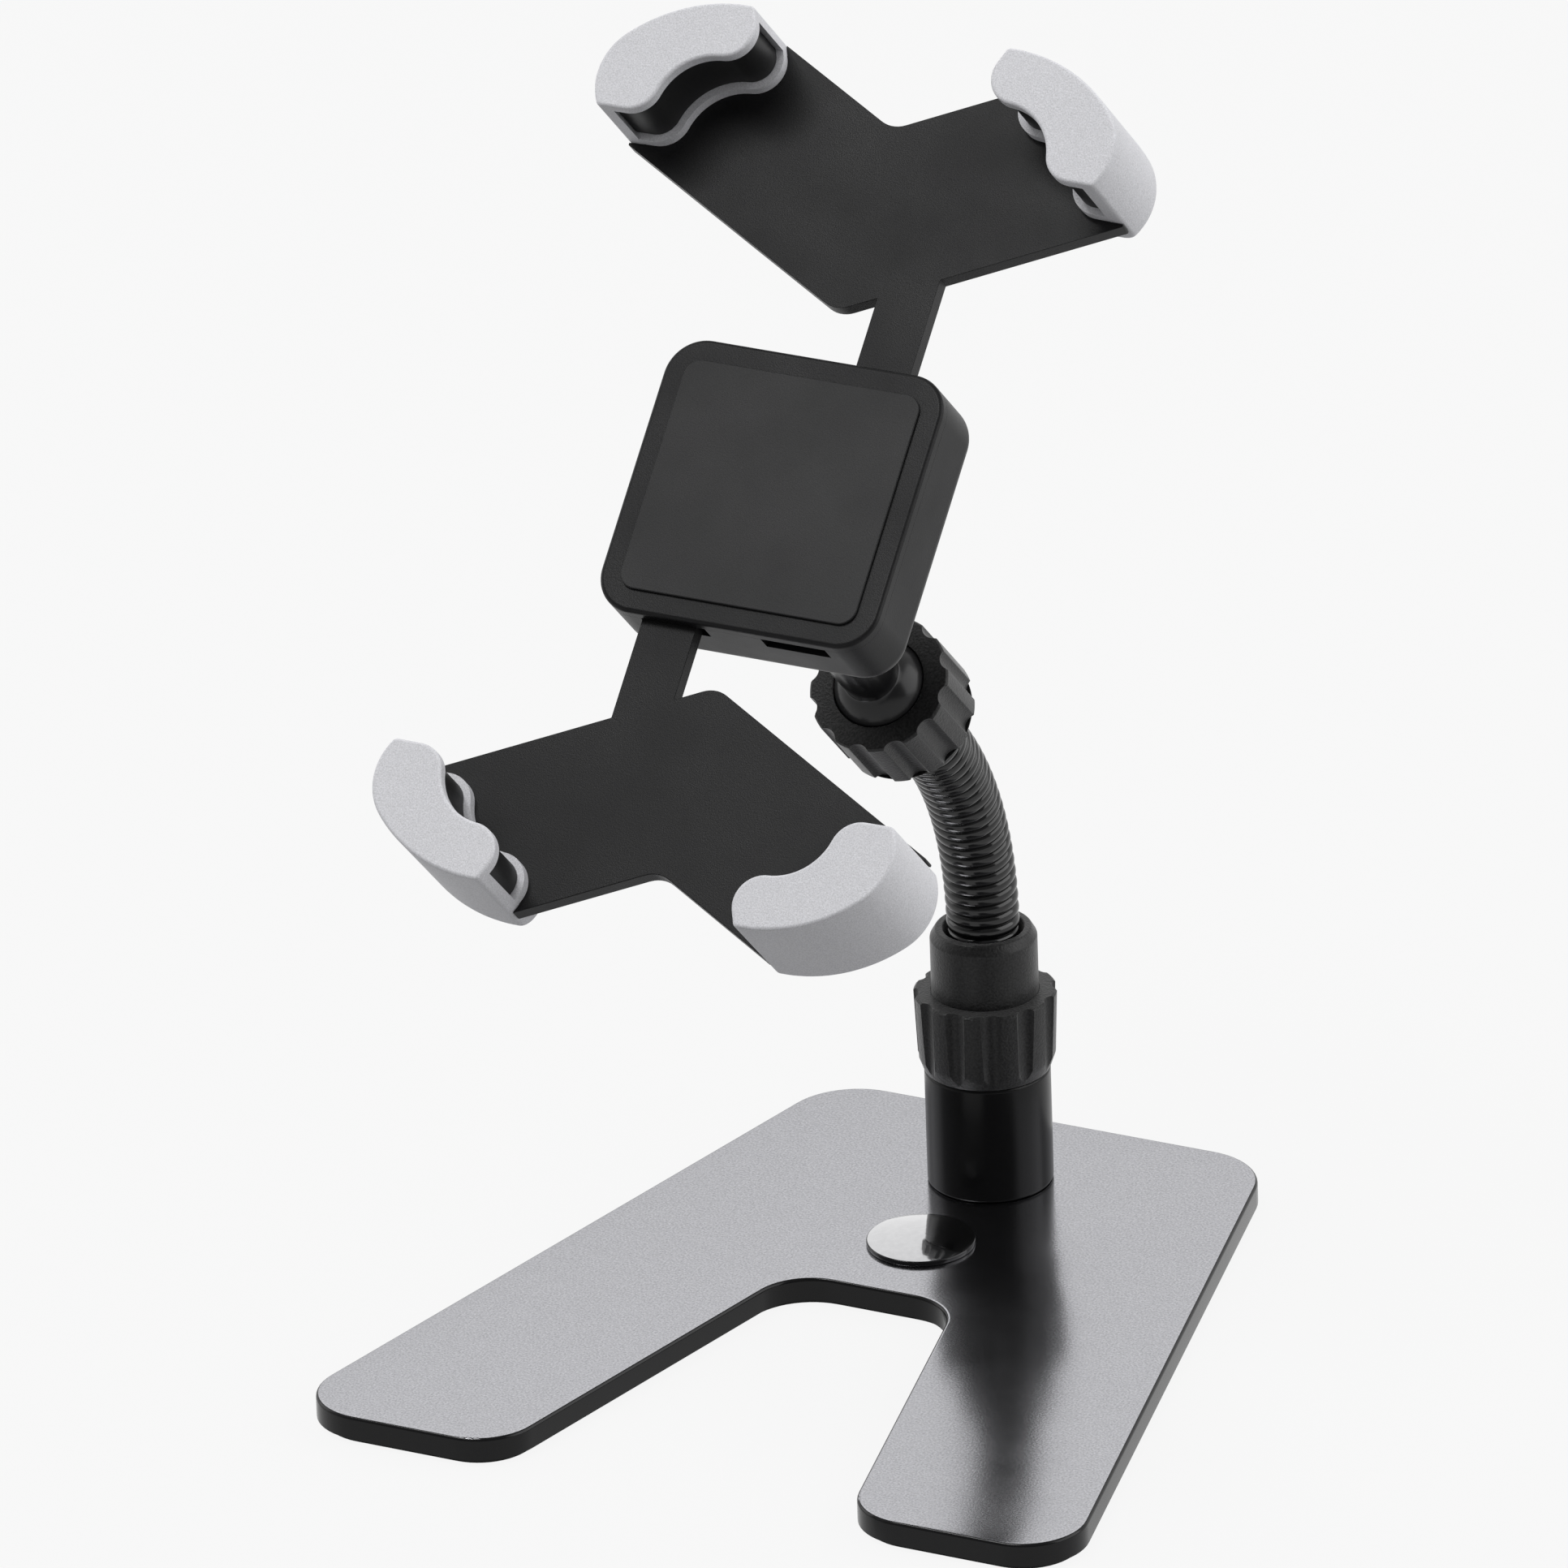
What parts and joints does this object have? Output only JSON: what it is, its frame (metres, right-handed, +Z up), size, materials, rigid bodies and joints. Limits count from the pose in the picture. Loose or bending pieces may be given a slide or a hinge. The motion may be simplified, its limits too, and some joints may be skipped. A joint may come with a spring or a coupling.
{
  "type": "desk phone stand",
  "caption": "Desk phone stand with a splayed, notched base plate, a post, a bent gooseneck with fluted nuts, a ball joint and a sliding holder with corner claws.",
  "frame": {"origin": "on the post's axis, on the surface that the rubber sheet under the base rests on", "axes": "+Z up, front towards -Y, +X to the right seen from the front"},
  "size_m": [0.1442, 0.166, 0.2342],
  "materials": {
    "plate_finish": "smooth satin black coating on steel",
    "post_finish": "gloss black coating",
    "sheet_rubber": "plain matt sheet",
    "badge_clear": "smooth domed resin",
    "screw_steel": "plain screws",
    "washer_nylon": "plain moulded",
    "grained_black": "finely grained black",
    "neck_black": "gloss black wound steel",
    "stud_black": "gloss black",
    "arm_black": "satin black",
    "claw_grey": "fine-grained light grey",
    "pad_rubber": "smooth dark rubber",
    "gear_plastic": "plain moulded"
  },
  "bodies": {
    "base": {"base_plate": "plate_finish", "non_slip_sheet": "sheet_rubber", "badge_dome": "badge_clear", "post": "post_finish", "post_screw": "screw_steel", "swivel_washer": "washer_nylon"},
    "lower_nut": {"lower_nut": "grained_black"},
    "neck": {"ferrule": "grained_black", "gooseneck": "neck_black"},
    "neck_top": {"ball_socket": "grained_black"},
    "upper_nut": {"upper_nut": "grained_black"},
    "ball_seat": {"socket_liner": "washer_nylon"},
    "stud": {"ball_stud": "stud_black", "stud_washer": "screw_steel", "stud_screw": "screw_steel"},
    "holder": {"housing_back": "arm_black", "housing_cover": "arm_black", "housing_screws": "screw_steel", "front_pad": "pad_rubber", "pinion_pin": "screw_steel"},
    "pinion": {"pinion": "gear_plastic"},
    "upper_yoke": {"upper_yoke": "arm_black", "upper_claw_screws": "screw_steel", "claw_upper_left": "claw_grey", "insert_upper_left": "pad_rubber", "claw_upper_right": "claw_grey", "insert_upper_right": "pad_rubber"},
    "lower_yoke": {"lower_yoke": "arm_black", "lower_claw_screws": "screw_steel", "claw_lower_left": "claw_grey", "insert_lower_left": "pad_rubber", "claw_lower_right": "claw_grey", "insert_lower_right": "pad_rubber"}
  },
  "joints": [
    {"name": "lower_nut_turn", "type": "hinge", "parent": "base", "child": "lower_nut", "pos_m": [0, 0, 0.03375], "axis": [0, 0, 1], "continuous": true},
    {"name": "neck_swivel", "type": "hinge", "parent": "base", "child": "neck", "pos_m": [0, 0, 0.05375], "axis": [0, 0, 1], "continuous": true},
    {"name": "neck_bend", "type": "hinge", "parent": "neck", "child": "neck_top", "pos_m": [0, 0, 0.07877], "axis": [1, 0, 0], "range_deg": [-45, 30], "deforming": ["gooseneck"]},
    {"name": "upper_nut_turn", "type": "hinge", "parent": "neck_top", "child": "upper_nut", "pos_m": [0, -0.03749, 0.11626], "axis": [0, -0.7071, 0.7071], "continuous": true},
    {"name": "ball_turn", "type": "hinge", "parent": "neck_top", "child": "ball_seat", "pos_m": [0, -0.03537, 0.11414], "axis": [0, -0.7071, 0.7071], "continuous": true},
    {"name": "ball_tilt", "type": "hinge", "parent": "ball_seat", "child": "stud", "pos_m": [0, -0.03537, 0.11414], "axis": [1, 0, 0], "range_deg": [-28, 28]},
    {"name": "holder_roll", "type": "hinge", "parent": "stud", "child": "holder", "pos_m": [0, -0.07143, 0.1502], "axis": [0, -0.7071, 0.7071], "continuous": true},
    {"name": "upper_slide", "type": "slide", "parent": "holder", "child": "upper_yoke", "axis": [0, 0.7071, 0.7071], "range_m": [-0.009, 0.012]},
    {"name": "lower_slide", "type": "slide", "parent": "holder", "child": "lower_yoke", "axis": [0, -0.7071, -0.7071], "range_m": [-0.0095, 0.0125]},
    {"name": "pinion_turn", "type": "hinge", "parent": "holder", "child": "pinion", "pos_m": [0, -0.06811, 0.16045], "axis": [0, -0.7071, 0.7071], "range_deg": [-90, 118]}
  ],
  "couplings": [
    {"joint": "lower_slide", "follows": "upper_slide", "ratio": 1},
    {"joint": "pinion_turn", "follows": "upper_slide", "rad_per_m": 166.67}
  ]
}
